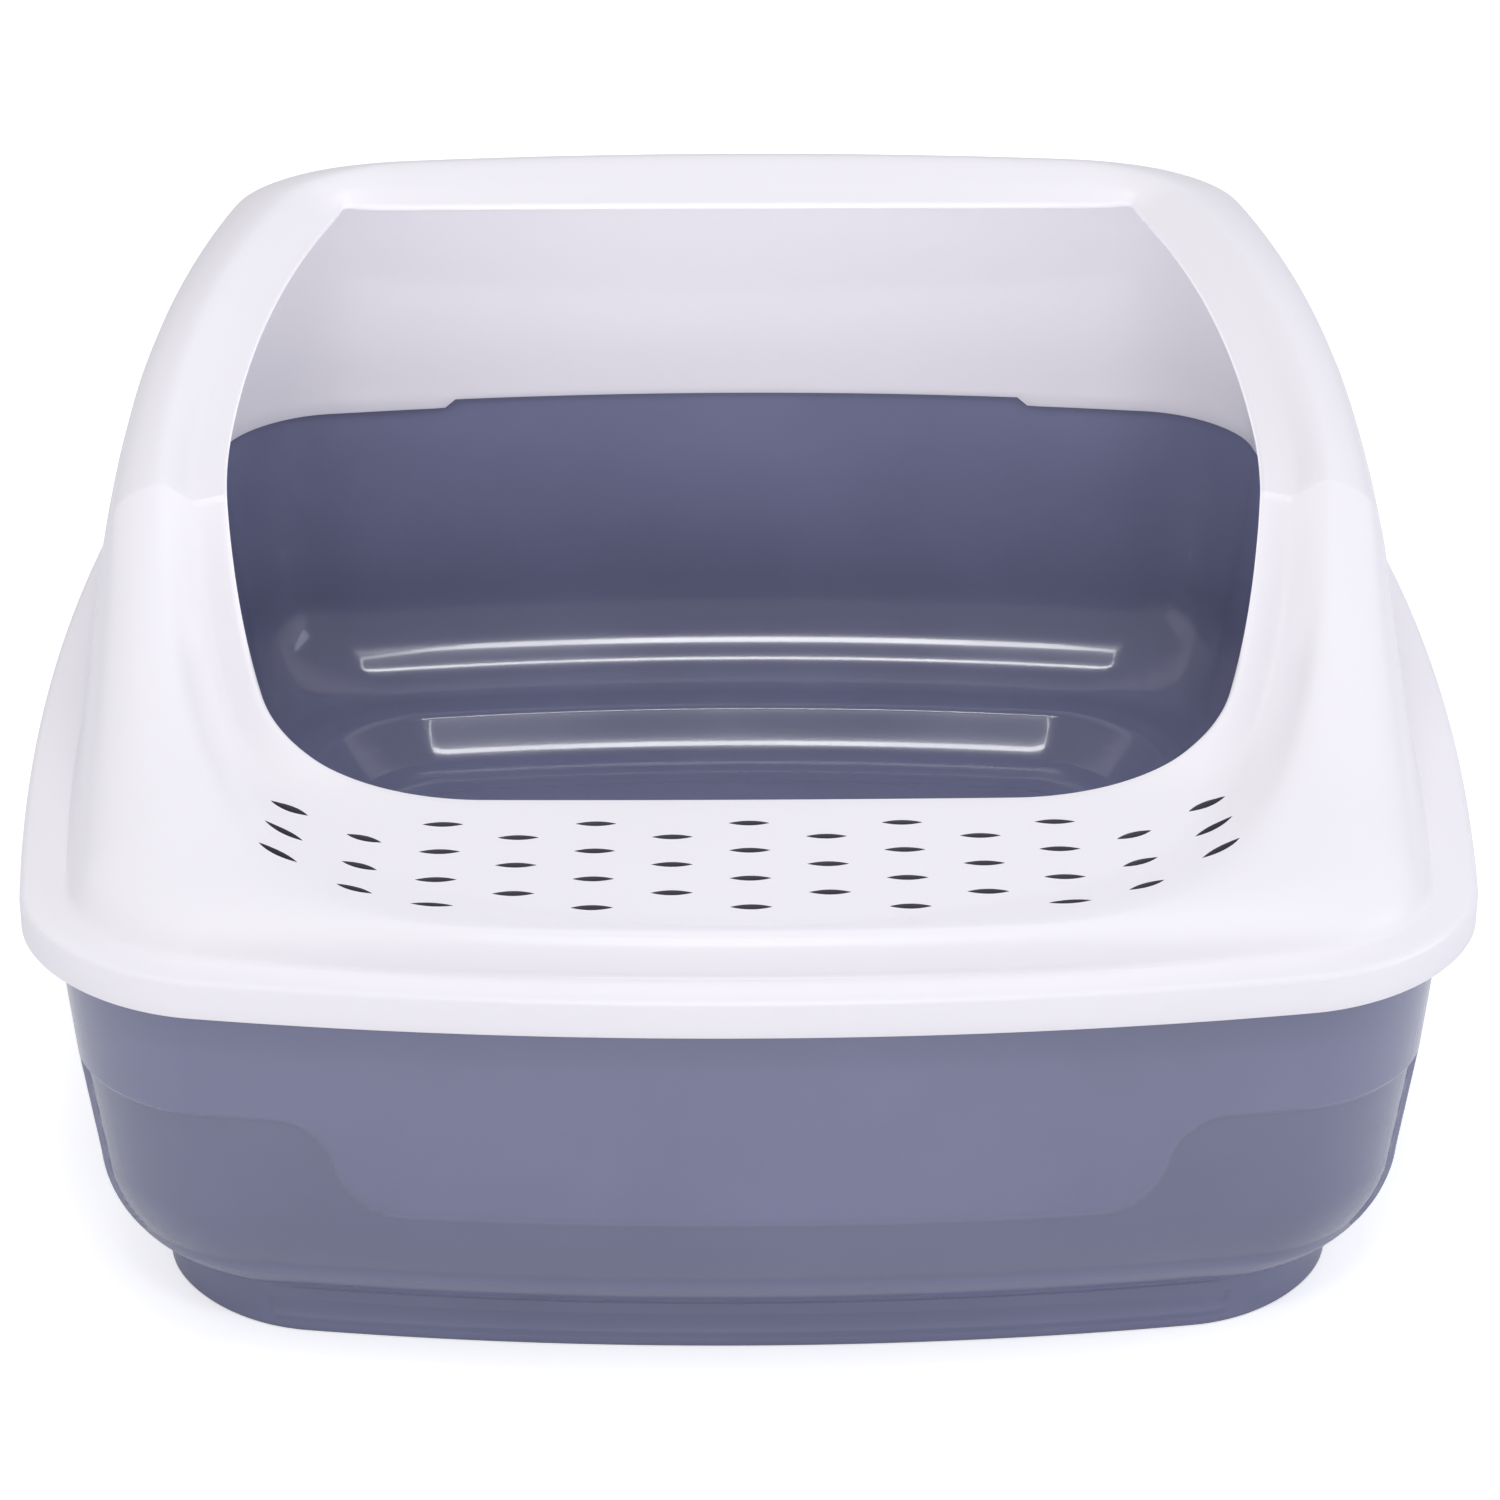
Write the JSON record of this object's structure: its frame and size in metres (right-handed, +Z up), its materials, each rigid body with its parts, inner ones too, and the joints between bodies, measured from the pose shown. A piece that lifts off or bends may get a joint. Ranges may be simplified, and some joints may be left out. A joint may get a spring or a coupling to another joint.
{
  "type": "litter tray with high rim",
  "caption": "Deep blue-grey litter tray with a white lift-off high rim, swept low at the front into a slotted entry shelf.",
  "frame": {"origin": "on the floor under the middle of the tray's plan", "axes": "+X to the right seen from the entry, +Y from the low entry to the high back, +Z up"},
  "size_m": [0.4, 0.4698, 0.2075],
  "materials": {
    "tray_plastic": "glossy blue-grey moulded polypropylene",
    "rim_plastic": "glossy white moulded polypropylene"
  },
  "bodies": {
    "tray": {"tray_base": "tray_plastic"},
    "rim": {"high_rim": "rim_plastic"}
  },
  "joints": [
    {"name": "rim_lift", "type": "slide", "parent": "tray", "child": "rim", "axis": [0, 0, 1], "range_m": [0, 0.15]}
  ]
}
